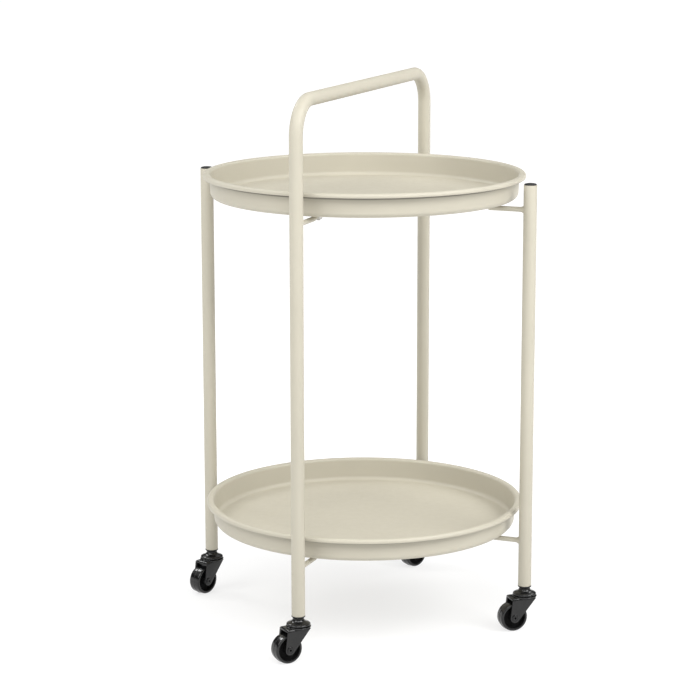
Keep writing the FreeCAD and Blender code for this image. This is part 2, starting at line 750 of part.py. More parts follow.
def cut_fork(body):
    """The stem's hole, the ball race and the axle's hole through both cheeks."""
    stem_hole = new_sketch(body, "stem_hole", "XY_Plane", "sizes.fork_height - 3")
    draw_circle(stem_hole, "0", "0", "sizes.stem_diameter + 2 * sizes.fit_gap")
    pad(body, "stem_hole_pocket", stem_hole, "6", reverse=True, cut=True)
    race = new_sketch(body, "race", "XZ_Plane")
    draw_circle(race, "sizes.race_radius", "sizes.race_height", "sizes.ball_diameter + 0.2")
    groove = body.newObject("PartDesign::Groove", f"{body.Label}_race_groove")
    groove.Profile = race
    groove.ReferenceAxis = (race, ["V_Axis"])
    groove.Angle = 360.0
    axle_hole = new_sketch(body, "axle_hole", "XZ_Plane", "-sizes.fork_width")
    draw_circle(axle_hole, "sizes.trail", "sizes.wheel_diameter / 2",
                "sizes.axle_diameter + 2 * sizes.fit_gap")
    pad(body, "axle_hole_pocket", axle_hole, "2 * sizes.fork_width", reverse=True, cut=True)


def stand_on_axle(sub_part, side):
    """Lay the sub-part's own Z axis along the wheel's axle."""
    leg = LEGS[side]
    circle = value_of("sizes.leg_circle")
    azimuth = math.radians(leg["azimuth"])
    trails = math.radians(leg["trails"])
    trail = value_of("sizes.trail")
    place = Vector(
        circle * math.cos(azimuth) + trail * math.cos(trails),
        circle * math.sin(azimuth) + trail * math.sin(trails),
        value_of("sizes.wheel_diameter / 2"),
    )
    turned = Rotation(Vector(0, 0, 1), leg["trails"])
    laid_down = Rotation(Vector(1, 0, 0), 90)
    sub_part.Placement = Placement(place, turned.multiply(laid_down))


def make_axle(side):
    """A tubular rivet through both cheeks, its two ends rolled over."""
    body = new_body(f"{side}_axle")
    cheek = "sizes.fork_width / 2 + 0.05"
    bore = "sizes.axle_bore / 2"
    shank = "sizes.axle_diameter / 2"
    head = "sizes.axle_head / 2"
    revolve(body, "rivet", [
        (bore, f"-({cheek} + sizes.axle_head_height)"),
        (f"{head} - 0.5", f"-({cheek} + sizes.axle_head_height)"),
        (head, f"-({cheek} + sizes.axle_head_height - 0.5)"),
        (head, f"-({cheek})"),
        (shank, f"-({cheek})"),
        (shank, cheek),
        (head, cheek),
        (head, f"{cheek} + sizes.axle_head_height - 0.5"),
        (f"{head} - 0.5", f"{cheek} + sizes.axle_head_height"),
        (bore, f"{cheek} + sizes.axle_head_height"),
    ])
    stand_on_axle(body, side)


def make_wheel(side):
    """A moulded wheel with a crowned tread, a fine parting rib and dished sides."""
    body = new_body(f"{side}_wheel")
    tread = "sizes.wheel_diameter / 2"
    half = "sizes.wheel_width / 2"
    inside = f"{tread} - sizes.rim_thickness"
    web = f"{half} - sizes.side_recess"
    hub = "sizes.hub_diameter / 2"
    hub_end = "sizes.fork_width / 2 - sizes.fork_sheet - sizes.free_gap"
    bore = "sizes.wheel_bore / 2"
    shoulder = 1.6
    crown = 0.5
    revolve(body, "wheel", [
        (bore, f"-({hub_end})"),
        (hub, f"-({hub_end})"),
        (f"{hub} + 0.4", f"-({web})"),
        (f"{inside} - 0.6", f"-({web})"),
        (inside, f"-({half})"),
        (
            f"{tread} - {crown} - {shoulder}", f"-({half})",
            f"{tread} - {crown} - {shoulder}", f"-({half} - {shoulder})", 1,
        ),
        (f"{tread} - {crown}", f"-({half} - {shoulder})"),
        (f"{tread} - 0.3", "-0.7"),
        (tread, "-0.35"),
        (tread, "0.35"),
        (f"{tread} - 0.3", "0.7"),
        (
            f"{tread} - {crown}", f"{half} - {shoulder}",
            f"{tread} - {crown} - {shoulder}", f"{half} - {shoulder}", 1,
        ),
        (f"{tread} - {crown} - {shoulder}", half),
        (inside, half),
        (f"{inside} - 0.6", web),
        (f"{hub} + 0.4", web),
        (hub, hub_end),
        (bore, hub_end),
    ])
    stand_on_axle(body, side)


# The whole cart

make_handle_tube()
for post_side in ("left", "right"):
    make_post(post_side)
    make_post_cap(post_side)
for tray_level in LEVELS:
    make_tray(tray_level)
    make_tray_fasteners(tray_level)
    for leg_side in LEGS:
        make_arm(leg_side, tray_level)
for leg_side in LEGS:
    make_socket(leg_side)
    make_stem(leg_side)
    make_grip_ring(leg_side)
    make_bearing_cover(leg_side)
    make_bearing_balls(leg_side)
    make_fork(leg_side)
    make_axle(leg_side)
    make_wheel(leg_side)

# Checks and files

doc.recompute()
for thing in doc.Objects:
    if {"Invalid", "Error"} & set(thing.State):
        raise RuntimeError(f"{thing.Label} did not recompute: {thing.State}")
os.makedirs("parts", exist_ok=True)
for node in nodes:
    shape = node.Shape
    if shape.isNull() or not shape.isValid() or not shape.Solids:
        raise RuntimeError(f"{node.Label} has no valid solid")
    shape.exportStep(f"parts/{node.Label}.step")
    print(f"{node.Label}: {len(shape.Solids)} solid(s), {shape.Volume:.1f} mm3")
print(f"{len(nodes)} nodes")
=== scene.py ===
# %% [markdown]
# # A round serving cart
#
# This notebook dresses a serving cart that was built at its real size in CAD. Two shallow
# pressed trays stand between four slim tubes on small swivel casters. The CAD model is the
# fixed frame: it says where every piece is and what turns about what. Each cell below makes
# one piece of the cart again, with the edges, curves and finish that the eye looks for, and
# hangs it on the CAD body that it moves with.
#
# Shapes are drawn in millimetres, because a maker thinks in them, and are scaled to metres
# when a piece is finished.

# %% Load the frame
import math

import bmesh
import bpy
from mathutils import Matrix, Vector


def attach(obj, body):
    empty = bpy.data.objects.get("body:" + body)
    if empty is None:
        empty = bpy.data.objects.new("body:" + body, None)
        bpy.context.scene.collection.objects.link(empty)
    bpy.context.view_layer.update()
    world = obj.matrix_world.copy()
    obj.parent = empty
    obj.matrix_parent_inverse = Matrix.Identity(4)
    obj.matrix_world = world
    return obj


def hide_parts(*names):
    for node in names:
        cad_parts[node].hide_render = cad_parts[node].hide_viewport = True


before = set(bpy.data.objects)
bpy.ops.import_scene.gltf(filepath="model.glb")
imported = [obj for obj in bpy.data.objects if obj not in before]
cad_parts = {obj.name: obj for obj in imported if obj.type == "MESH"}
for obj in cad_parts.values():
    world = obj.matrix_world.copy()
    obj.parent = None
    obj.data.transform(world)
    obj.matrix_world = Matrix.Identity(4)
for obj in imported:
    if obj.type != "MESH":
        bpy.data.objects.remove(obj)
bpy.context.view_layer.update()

# %% [markdown]
# ## Sizes that several pieces share
#
# The legs stand on a circle round the trays' axis. A caster trails to one side of its leg,
# as it does when a cart has just been pushed, so every leg has a direction of its own.

# %% Shared sizes, in millimetres and degrees
LEG_CIRCLE = 211.0  # from the trays' axis out to each leg's
TUBE_RADIUS = 8.0
TUBE_WALL = 1.2
FOOT = 55.2  # height of the tubes' lower ends
POST_TOP = 548.2
BAR = 658.0  # height of the handle bar's axis
BEND = 40.0  # radius of the handle's bends, at the tube's axis
TRAY_FLOORS = {"upper": 524.5, "lower": 117.5}
AXLE_HEIGHT = 17.5
TRAIL = 16.0  # from the swivel's axis back to the axle
LEGS = {
    "front": {"azimuth": -90.0, "trails": -129.0},
    "right": {"azimuth": 0.0, "trails": -139.0},
    "rear": {"azimuth": 90.0, "trails": -118.0},
    "left": {"azimuth": 180.0, "trails": -110.5},
}
# These two lay an upright piece down along X or along Y.
ALONG_X = Matrix.Rotation(math.pi / 2, 4, "Y")
ALONG_Y = Matrix.Rotation(math.pi / 2, 4, "X")
print(f"legs: {', '.join(LEGS)}; trays: {', '.join(TRAY_FLOORS)}")


def about_z(degrees):
    return Matrix.Rotation(math.radians(degrees), 4, "Z")


def leg_place(side, radius=LEG_CIRCLE, height=0.0, turned=0.0):
    """Where a leg stands: out along its azimuth, then turned about the upright."""
    angle = math.radians(LEGS[side]["azimuth"])
    spot = Vector((radius * math.cos(angle), radius * math.sin(angle), height))
    return Matrix.Translation(spot) @ about_z(turned)


# %% [markdown]
# ## Drawing tools
#
# Most of this cart is turned, bent or pressed, so two tools do most of the work. One draws
# half of a section with a single vertex: extruding it gives a straight line and spinning it
# gives an arc. The other spins that line about the upright, like a lathe. A third one rounds
# every edge that is sharper than a limit, because no real edge is perfectly sharp and the
# thin highlight on a rounded one is what makes a piece look solid.


# %% Draw a section, spin it, round its edges
MILLIMETRE = 0.001  # in metres
SAME_POINT = 1e-4
SMOOTH_BELOW = 35.0  # degrees between two faces


def clamp(value):
    return max(0.0, min(1.0, value))


def verts_in(geom):
    return [g for g in geom if isinstance(g, bmesh.types.BMVert)]


def edges_in(geom):
    return [g for g in geom if isinstance(g, bmesh.types.BMEdge)]


def verts_of(edges):
    return list({v for e in edges for v in e.verts})


def spin(bm, geom, centre, axis, degrees, parts, merge=False):
    """Spin points and edges, and return the ones at the end of the turn."""
    return bmesh.ops.spin(
        bm, geom=geom, cent=centre, axis=axis, dvec=(0.0, 0.0, 0.0),
        angle=math.radians(degrees), steps=parts, use_merge=merge,
    )["geom_last"]


def draw_arc(bm, start, centre, degrees, parts):
    """Spin one vertex anticlockwise as seen from the front, and return the arc's last one."""
    return verts_in(spin(bm, [start], centre, (0.0, -1.0, 0.0), degrees, parts))[0]


def draw_section(bm, steps, closed=False):
    """(x, z) draws a line, and (centre x, centre z, degrees, parts) an arc."""
    first = last = bm.verts.new((steps[0][0], 0.0, steps[0][1]))
    for step in steps[1:]:
        if len(step) == 2:
            last = bmesh.ops.extrude_vert_indiv(bm, verts=[last])["verts"][0]
            last.co = (step[0], 0.0, step[1])
        else:
            x, z, degrees, parts = step
            last = draw_arc(bm, last, (x, 0.0, z), degrees, parts)
    if closed:
        bm.edges.new((last, first))


def clean(bm):
    """Doubles out, faces outwards."""
    bmesh.ops.remove_doubles(bm, verts=bm.verts[:], dist=SAME_POINT)
    bmesh.ops.recalc_face_normals(bm, faces=bm.faces[:])


def lathe(steps, parts, closed=False):
    """A new bmesh: the section spun once round about Z."""
    bm = bmesh.new()
    draw_section(bm, steps, closed)
    section = bm.verts[:] + bm.edges[:]
    spin(bm, section, (0.0, 0.0, 0.0), (0.0, 0.0, 1.0), 360.0, parts, merge=True)
    clean(bm)
    return bm


def round_edges(bm, edges, width, segments):
    bmesh.ops.bevel(
        bm, geom=edges, offset=width, offset_type="OFFSET", segments=segments, profile=0.5,
        affect="EDGES", clamp_overlap=True, material=-1,
    )


def soften(bm, width, above):
    """Round every edge that turns by more than a limit in degrees."""
    limit = math.radians(above)
    sharp = [e for e in bm.edges if e.is_manifold and e.calc_face_angle(0.0) > limit]
    round_edges(bm, sharp, width, segments=2)


def place(bm, matrix):
    bmesh.ops.transform(bm, matrix=matrix, verts=bm.verts[:])
    return bm


def joined(parts):
    """One bmesh that holds several: each goes through a mesh of its own."""
    whole = bmesh.new()
    for part in parts:
        mesh = bpy.data.meshes.new("part")
        part.to_mesh(mesh)
        part.free()
        whole.from_mesh(mesh)
        bpy.data.meshes.remove(mesh)
    return whole


def finish_piece(name, bm, body, materials, nodes):
    """Make the object in metres, hang it on its body and let it stand for its CAD nodes."""
    bmesh.ops.scale(bm, vec=[MILLIMETRE] * 3, verts=bm.verts[:])
    mesh = bpy.data.meshes.new(name)
    bm.to_mesh(mesh)
    bm.free()
    mesh.shade_smooth()
    mesh.set_sharp_from_angle(angle=math.radians(SMOOTH_BELOW))
    for material in materials:
        mesh.materials.append(material)
    piece = bpy.data.objects.new(name, mesh)
    bpy.context.scene.collection.objects.link(piece)
    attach(piece, body)
    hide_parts(*nodes)
    print(f"{name}: {len(mesh.polygons)} faces")


# %% [markdown]
# ## Powder coat
#
# The frame and the trays are sprayed with dry powder and baked. The film flows out to a
# satin skin with a very fine dimpling, like orange peel, about a millimetre across and only
# a few hundredths deep. The colour is a warm, pale greige. A very wide, very weak noise
# shifts it a little, because a large white-lit surface with one exact number looks printed.
#
# The shade in a deep inner corner, such as under a tray's rolled rim, is painted into the
# coat's colour as a darker band. A piece that has such a corner marks it with an attribute on
# its points. All other pieces have none, which reads as zero.


# %% Node helpers and the powder coat
def new_material(name, color, roughness, metallic=0.0, specular=0.5):
    material = bpy.data.materials.new(name)
    material.use_nodes = True
    shader = material.node_tree.nodes["Principled BSDF"]
    shader.inputs["Base Color"].default_value = (*color, 1.0)
    shader.inputs["Roughness"].default_value = roughness
    shader.inputs["Metallic"].default_value = metallic
    shader.inputs["Specular IOR Level"].default_value = specular
    material.diffuse_color = (*color, 1.0)
    return material, material.node_tree.nodes, material.node_tree.links, shader


def add_noise(nodes, links, scale, detail=2.0, roughness=0.5):
    """A noise on Object coordinates. The scale is in waves per metre."""
    coordinates = nodes.new("ShaderNodeTexCoord")
    noise = nodes.new("ShaderNodeTexNoise")
    noise.inputs["Scale"].default_value = scale
    noise.inputs["Detail"].default_value = detail
    noise.inputs["Roughness"].default_value = roughness
    links.new(coordinates.outputs["Object"], noise.inputs["Vector"])
    return noise.outputs["Fac"]


def ramp_between(nodes, links, source, low, high, start=0.35, end=0.65):
    """Map a noise to a colour, or to a number where low and high are numbers."""
    if isinstance(low, (int, float)):
        remap = nodes.new("ShaderNodeMapRange")
        remap.inputs["From Min"].default_value = start
        remap.inputs["From Max"].default_value = end
        remap.inputs["To Min"].default_value = low
        remap.inputs["To Max"].default_value = high
        links.new(source, remap.inputs["Value"])
        return remap.outputs["Result"]
    ramp = nodes.new("ShaderNodeValToRGB")
    ramp.color_ramp.elements[0].position = start
    ramp.color_ramp.elements[1].position = end
    ramp.color_ramp.elements[0].color = (*low, 1.0)
    ramp.color_ramp.elements[1].color = (*high, 1.0)
    links.new(source, ramp.inputs["Fac"])
    return ramp.outputs["Color"]


def add_bump(nodes, links, shader, height, distance, strength, below=None):
    """A bump of a real height in metres, on top of another bump if one is given."""
    bump = nodes.new("ShaderNodeBump")
    bump.inputs["Distance"].default_value = distance
    bump.inputs["Strength"].default_value = strength
    links.new(height, bump.inputs["Height"])
    if below:
        links.new(below, bump.inputs["Normal"])
    links.new(bump.outputs["Normal"], shader.inputs["Normal"])
    return bump.outputs["Normal"]


def tint(color, factor):
    return tuple(min(1.0, channel * factor) for channel in color)


def make_powder_coat():
    """Painted shade: the colour darkens to a set share where a piece's points are marked for
    it.
    """
    greige = (0.469, 0.440, 0.358)
    painted_shade_factor = 0.38
    material, nodes, links, shader = new_material("powder_coat", greige, 0.5)
    clouds = add_noise(nodes, links, 9.0, detail=3.0)
    color = ramp_between(nodes, links, clouds, tint(greige, 0.985), tint(greige, 1.015))
    # Painted shade: the colour is darkened where a piece's points are marked.
    corner = nodes.new("ShaderNodeAttribute")
    corner.attribute_name = "painted_shade"
    shade_scale = ramp_between(nodes, links, corner.outputs["Fac"], 1.0, painted_shade_factor, 0.0, 1.0)
    shaded = nodes.new("ShaderNodeVectorMath")
    shaded.operation = "SCALE"
    links.new(color, shaded.inputs[0])
    links.new(shade_scale, shaded.inputs["Scale"])
    links.new(shaded.outputs["Vector"], shader.inputs["Base Color"])
    flow = add_noise(nodes, links, 140.0, detail=2.0)
    links.new(ramp_between(nodes, links, flow, 0.46, 0.54), shader.inputs["Roughness"])
    sheet = add_noise(nodes, links, 14.0, detail=1.0)
    swell = add_bump(nodes, links, shader, sheet, 0.0006, 0.25)
    peel = add_noise(nodes, links, 800.0, detail=1.5)
    add_bump(nodes, links, shader, peel, 0.00004, 0.5, below=swell)
    return material


powder_coat = make_powder_coat()
print("powder coat ready")

# %% [markdown]
# ## Black finishes
#
# A caster's fork, bearing cover, stem and rivet are steel with a thin semi-gloss black
# paint, which softens the stamping marks without hiding them. The wheel is moulded in hard
# black plastic, smooth on the tread. Its dished sides take a darker black with little gloss
# and a coarse bump, so that the recess reads nearly black. The sockets and the posts' plugs
# are a softer, finely grained plastic.


# %% Black paint, wheel plastic, plug plastic
def make_black_paint():
    black = (0.006, 0.006, 0.0062)
    material, nodes, links, shader = new_material("black_paint", black, 0.16)
    blotches = add_noise(nodes, links, 160.0, detail=3.0)
    links.new(ramp_between(nodes, links, blotches, 0.12, 0.2), shader.inputs["Roughness"])
    film = add_noise(nodes, links, 900.0, detail=2.0)
    add_bump(nodes, links, shader, film, 0.00003, 0.4)
    shade = ramp_between(nodes, links, blotches, tint(black, 0.85), tint(black, 1.25))
    links.new(shade, shader.inputs["Base Color"])
    return material


def make_wheel_plastic():
    black = (0.005, 0.005, 0.0052)
    material, nodes, links, shader = new_material("wheel_plastic", black, 0.16)
    dust = add_noise(nodes, links, 260.0, detail=4.0, roughness=0.6)
    shade = ramp_between(nodes, links, dust, black, tint(black, 1.8), 0.45, 0.8)
    links.new(shade, shader.inputs["Base Color"])
    links.new(ramp_between(nodes, links, dust, 0.12, 0.2), shader.inputs["Roughness"])
    skin = add_noise(nodes, links, 1500.0, detail=2.0)
    add_bump(nodes, links, shader, skin, 0.00002, 0.4)
    return material


def make_wheel_web():
    """The dished sides: a darker black with little gloss and a coarse bump."""
    black = (0.0035, 0.0035, 0.0036)
    material, nodes, links, shader = new_material("wheel_web", black, 0.75, specular=0.12)
    dust = add_noise(nodes, links, 420.0, detail=3.0)
    shade = ramp_between(nodes, links, dust, tint(black, 0.8), tint(black, 1.6))
    links.new(shade, shader.inputs["Base Color"])
    links.new(ramp_between(nodes, links, dust, 0.7, 0.85), shader.inputs["Roughness"])
    spark = add_noise(nodes, links, 2600.0, detail=3.0)
    add_bump(nodes, links, shader, spark, 0.00005, 0.7)
    return material


def make_plug_plastic():
    black = (0.006, 0.006, 0.006)
    material, nodes, links, shader = new_material("plug_plastic", black, 0.42)
    grain = add_noise(nodes, links, 2400.0, detail=2.0)
    add_bump(nodes, links, shader, grain, 0.00003, 0.6)
    cloud = add_noise(nodes, links, 300.0)
    shade = ramp_between(nodes, links, cloud, tint(black, 0.8), tint(black, 1.4))
    links.new(shade, shader.inputs["Base Color"])
    links.new(ramp_between(nodes, links, cloud, 0.3, 0.4), shader.inputs["Roughness"])
    return material


black_paint = make_black_paint()
wheel_plastic = make_wheel_plastic()
wheel_web = make_wheel_web()
plug_plastic = make_plug_plastic()
print("black finishes ready")

# %% [markdown]
# ## Bare metals
#
# Studs, washers and nuts are zinc-plated: a grey metal whose crystals show as faint patches.
# The balls are polished steel and the grip ring is oiled spring steel. These two hide inside
# the caster, so they keep their CAD shape and only get a finish.


# %% Zinc, ball steel, spring steel
def make_metal(name, color, rough_low, rough_high, patches, bump):
    material, nodes, links, shader = new_material(name, color, rough_low, metallic=1.0)
    spangle = add_noise(nodes, links, patches, detail=2.0)
    shade = ramp_between(nodes, links, spangle, tint(color, 0.88), tint(color, 1.08))
    links.new(shade, shader.inputs["Base Color"])
    rough = ramp_between(nodes, links, spangle, rough_low, rough_high)
    links.new(rough, shader.inputs["Roughness"])
    grain = add_noise(nodes, links, 1800.0, detail=2.0)
    add_bump(nodes, links, shader, grain, 0.00002, bump)
    return material


zinc = make_metal("zinc", (0.60, 0.59, 0.56), 0.28, 0.42, 420.0, 0.5)
ball_steel = make_metal("ball_steel", (0.72, 0.72, 0.73), 0.08, 0.14, 200.0, 0.1)
spring_steel = make_metal("spring_steel", (0.30, 0.30, 0.31), 0.25, 0.4, 500.0, 0.4)
for side in LEGS:
    for node, material in (("bearing_balls", ball_steel), ("caster_grip_ring", spring_steel)):
        for material_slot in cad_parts[f"{side}_{node}"].material_slots:
            material_slot.material = material
print("metals ready")

# %% [markdown]
# ## Tubes: handle and posts
#
# The handle is one length of 16 mm tube: up the front leg, round a bend, along the bar, and
# down the rear leg. A circle of edges is extruded for each straight run and spun for each
# bend, which is what a tube bender does. The wall is then given its thickness inwards, so
# that the open ends are real rims, and the rims are rounded as a deburred cut is.


# %% Make the tubes
ROUND_PARTS, BEND_PARTS = 48, 20
DEBURRED = 0.35


def start_tube(centre):
    bm = bmesh.new()
    bmesh.ops.create_circle(
        bm, cap_ends=False, segments=ROUND_PARTS, radius=TUBE_RADIUS,
        matrix=Matrix.Translation(centre),
    )
    return bm, bm.edges[:]


def run_straight(bm, ring, along):
    grown = bmesh.ops.extrude_edge_only(bm, edges=ring)["geom"]
    bmesh.ops.translate(bm, vec=along, verts=verts_in(grown))
    return edges_in(grown)


def run_bend(bm, ring, y):
    """A quarter turn over towards +Y, about a line along X at the bends' height."""
    centre = (0.0, y, BAR - BEND)
    return edges_in(spin(bm, verts_of(ring) + ring, centre, (-1.0, 0.0, 0.0), 90.0, BEND_PARTS))


def close_tube(bm):
    """The wall gets its thickness and the rims are rounded."""
    clean(bm)
    bmesh.ops.solidify(bm, geom=bm.faces[:], thickness=TUBE_WALL)
    soften(bm, DEBURRED, above=60.0)
    return bm


def make_handle():
    upright, reach = BAR - BEND - FOOT, LEG_CIRCLE - BEND
    bm, ring = start_tube((0.0, -LEG_CIRCLE, FOOT))
    ring = run_straight(bm, ring, (0.0, 0.0, upright))
    ring = run_bend(bm, ring, -reach)
    ring = run_straight(bm, ring, (0.0, 2 * reach, 0.0))
    ring = run_bend(bm, ring, reach)
    run_straight(bm, ring, (0.0, 0.0, -upright))
    return close_tube(bm)


def make_post(side):
    bm, ring = start_tube(leg_place(side, height=FOOT).translation)
    run_straight(bm, ring, (0.0, 0.0, POST_TOP - FOOT))
    return close_tube(bm)


finish_piece("handle", make_handle(), "frame", [powder_coat], ["handle_tube"])
for side in ("left", "right"):
    finish_piece(f"{side}_leg_post", make_post(side), "frame", [powder_coat],
                 [f"{side}_post"])

# %% [markdown]
# ## Trays
#
# A tray is one disc of 1 mm sheet, pressed into a shallow pan. The wall leaves the floor in
# a tight curve, leans out slightly, and ends in a rim that is rolled outwards and down, so
# that no raw edge meets a hand. The roll ends in a round bead whose lip curls back under it.
# Drawing both sides of the sheet in one line and spinning it keeps the thickness true
# everywhere, also inside the roll.
#
# Close under the roll the outside of the wall lies in shade, and that shade is painted
# into the coat's colour. The points there are marked for it, and the painted shade fades out
# downwards over a narrow band.


# %% Make the trays
# Where the painted shade under the roll lies, and the heights over which it grows to full, in
# mm.
HOLLOW_OF_ROLL = (187.5, 188.1)
SHADE_FROM, SHADE_OVER = 21.0, 1.2


# Marks the points where shade under the rolled rim is painted into the colour.
def mark_painted_shade(bm, below):
    inner, outer = HOLLOW_OF_ROLL
    painted_shade = bm.verts.layers.float.new("painted_shade")
    for vert in bm.verts:
        if inner < vert.co.xy.length < outer and vert.co.z < below:
            vert[painted_shade] = clamp((vert.co.z - SHADE_FROM) / SHADE_OVER)


def make_tray(floor):
    sheet, height, wall, corner = 1.0, 29.5, 187.0, 6.5
    corner_x = wall - corner
    rim_x, rim_z = 190.5, height - 3.5
    bead_x, bead_z, bead = 192.6, height - 3.4, 3.4
    lip_x, lip_z = math.cos(math.radians(-35.0)), math.sin(math.radians(-35.0))
    section = [
        (0.0, 0.0),
        (60.0, 0.0),  # two rings divide the wide flat floor
        (120.0, 0.0),
        (corner_x, 0.0),
        (corner_x, corner, 90.0, 10),
        (187.74, 21.0),
        (187.80, 22.2),
        (188.0, rim_z),
        (rim_x, rim_z, -90.0, 8),
        (bead_x, height - sheet),
        (bead_x, bead_z, -125.0, 12),
        (bead_x + bead * lip_x, bead_z + bead * lip_z),
        (bead_x, bead_z, 125.0, 16),
        (rim_x, height),
        (rim_x, rim_z, 90.0, 10),
        (wall - sheet, corner),
        (corner_x, corner, -90.0, 10),
        (120.0, sheet),
        (60.0, sheet),
        (0.0, sheet),
    ]
    bm = lathe(section, parts=180)
    soften(bm, 0.3, above=60.0)
    mark_painted_shade(bm, rim_z + 0.1)
    return place(bm, Matrix.Translation((0.0, 0.0, floor)))


for level, floor in TRAY_FLOORS.items():
    finish_piece(f"{level}_pan", make_tray(floor), "frame", [powder_coat],
                 [f"{level}_tray"])

# %% [markdown]
# ## Tray arms
#
# Under each tray a short 6 mm rod reaches in from every leg. Its inner end is squeezed flat
# in a press and drilled for the stud. The outer end is welded to the leg, and the bead shows
# as a small rippled collar. The rod starts as a plain cylinder, cut into short lengths where
# it changes shape. Then every ring of points is widened and flattened by how far in it lies,
# as the press does it. The bead is turned like a ring, bent to the leg's round surface and
# rippled.


# %% Make the arms with their weld beads
# An arm is drawn along X, with its leg's axis at zero.
ROD_RADIUS = 3.0
ROD_DROP = 6.0  # from the tray's underside down to the rod's axis
ROD_START = 7.2  # just inside the tube's wall
TAB_THICKNESS = 2.8
TAB_HALF = 5.2  # half the tab's width, which is also its tip's radius
TAB_START = LEG_CIRCLE - 152.0
TAB_TIP = LEG_CIRCLE - 135.0  # where the rounding of the tip starts
SQUASH = 9.0  # length over which round turns flat
SQUASH_CUTS = 8
TIP_CUTS = (0, 15, 30, 45, 58, 70)  # degrees round the tip
BEAD_END, BEAD_LENGTH = 11.6, 3.6
RIPPLES = ((0.035, 11, 0.0), (0.02, 4, 1.0))  # share of the radius, waves round, shift


def ease(value):
    t = clamp(value)
    return t * t * (3 - 2 * t)


def press_flat(vert):
    """Widen and flatten a point of the round rod by how far along it lies."""
    amount = ease((vert.co.x - TAB_START + SQUASH) / SQUASH)
    width = ROD_RADIUS + (TAB_HALF - ROD_RADIUS) * amount
    past_tip = max(0.0, (vert.co.x - TAB_TIP) / TAB_HALF)
    vert.co.y *= width / ROD_RADIUS * math.sqrt(max(0.0, 1.0 - past_tip**2))
    top = ROD_RADIUS + (ROD_DROP - ROD_RADIUS) * amount
    foot = -ROD_RADIUS + (ROD_DROP - TAB_THICKNESS + ROD_RADIUS) * amount
    middle = (top + foot) / 2
    vert.co.z = max(foot, min(top, vert.co.z * (1.0 - 0.3 * amount) + middle))


def make_rod():
    end = TAB_TIP + TAB_HALF * 0.985
    middle = Matrix.Translation(((ROD_START + end) / 2, 0.0, 0.0))
    bm = bmesh.new()
    bmesh.ops.create_cone(
        bm, cap_ends=True, segments=28, radius1=ROD_RADIUS, radius2=ROD_RADIUS,
        depth=end - ROD_START, matrix=middle @ ALONG_X,
    )
    cuts = [TAB_START - SQUASH * (1 - i / SQUASH_CUTS) for i in range(SQUASH_CUTS + 1)]
    cuts += [TAB_TIP + TAB_HALF * math.sin(math.radians(a)) for a in TIP_CUTS]
    for x in cuts:
        bmesh.ops.bisect_plane(
            bm, geom=bm.verts[:] + bm.edges[:] + bm.faces[:], dist=1e-5,
            plane_co=(x, 0.0, 0.0), plane_no=(1.0, 0.0, 0.0),
        )
    for vert in bm.verts:
        press_flat(vert)
    return bm


def make_bead():
    """A ring of weld, its foot bent to the leg and its face rippled."""
    section = [
        (2.0, 7.0), (4.6, 7.0), (4.6, 8.0), (4.35, 8.4), (3.95, 9.0), (3.6, 9.7), (3.3, 10.5),
        (3.08, 11.4), (2.0, BEAD_END),
    ]
    bm = place(lathe(section, parts=64, closed=True), ALONG_X)
    for vert in bm.verts:
        around = math.atan2(vert.co.z, vert.co.y)
        foot = clamp((BEAD_END - vert.co.x) / BEAD_LENGTH)
        ripple = 1.0
        for share, waves, shift in RIPPLES:
            ripple += share * foot * math.sin(waves * around + shift)
        vert.co.y *= ripple
        vert.co.z *= ripple
        vert.co.x += foot * (math.sqrt(TUBE_RADIUS**2 - vert.co.y**2) - TUBE_RADIUS)
    return bm


def make_arm(side, floor):
    spot = leg_place(side, height=floor - ROD_DROP, turned=LEGS[side]["azimuth"] + 180.0)
    return place(joined([make_rod(), make_bead()]), spot)


for level, floor in TRAY_FLOORS.items():
    for side in LEGS:
        finish_piece(f"{side}_{level}_rod", make_arm(side, floor), "frame",
                     [powder_coat], [f"{side}_{level}_arm"])

# %% [markdown]
# ## Studs, washers and nuts
#
# Four M5 studs are welded under each tray. They pass through the arms' tabs and hold the
# tray with a washer and a nut each. A nut is a hexagon whose corners are turned away by a
# cone, which leaves the small curved chamfers that make a nut look like one. Here the
# hexagon's sides are divided, and every point of its two end faces is lowered by how far it
# stands outside the chamfer's circle. The thread is a row of turned grooves.


# %% Make the fasteners
# Heights are measured up from the tray's underside, so all but a stud's root is below zero.
STUD_CIRCLE = 145.5
STUD_TURN = 13.0  # degrees that a nut is turned from its leg's direction
STUD_TOP, STUD_FOOT = 0.3, -9.5
THREAD_FOOT, PITCH, GROOVES = -9.2, 0.8, 2
THREAD_CREST, THREAD_ROOT, SHANK = 2.5, 2.1, 2.45
WASHER_HOLE, WASHER_EDGE = 2.65, 5.0
WASHER_TOP, NUT_TOP, NUT_FOOT = -2.8, -3.8, -7.8
ACROSS_FLATS = 8.0
CHAMFER_CIRCLE, CHAMFER_SLOPE, FACE_CIRCLE = 3.95, 0.577, 3.9
NUT_BORE, BORE_CHAMFER = 2.5, 0.25


def make_stud():
    section = [(0.0, STUD_FOOT), (1.8, STUD_FOOT), (THREAD_ROOT, THREAD_FOOT)]
    z = THREAD_FOOT
    for _ in range(GROOVES):
        section += [(THREAD_CREST, z + 0.25), (THREAD_CREST, z + 0.4),
                    (THREAD_ROOT, z + 0.65), (THREAD_ROOT, z + PITCH)]
        z += PITCH
    section += [(SHANK, z + 0.3), (SHANK, STUD_TOP), (0.0, STUD_TOP)]
    return lathe(section, parts=32)


def make_washer():
    section = [(WASHER_HOLE, NUT_TOP), (WASHER_EDGE, NUT_TOP), (WASHER_EDGE, WASHER_TOP),
               (WASHER_HOLE, WASHER_TOP)]
    bm = lathe(section, parts=48, closed=True)
    soften(bm, 0.2, above=60.0)
    return bm


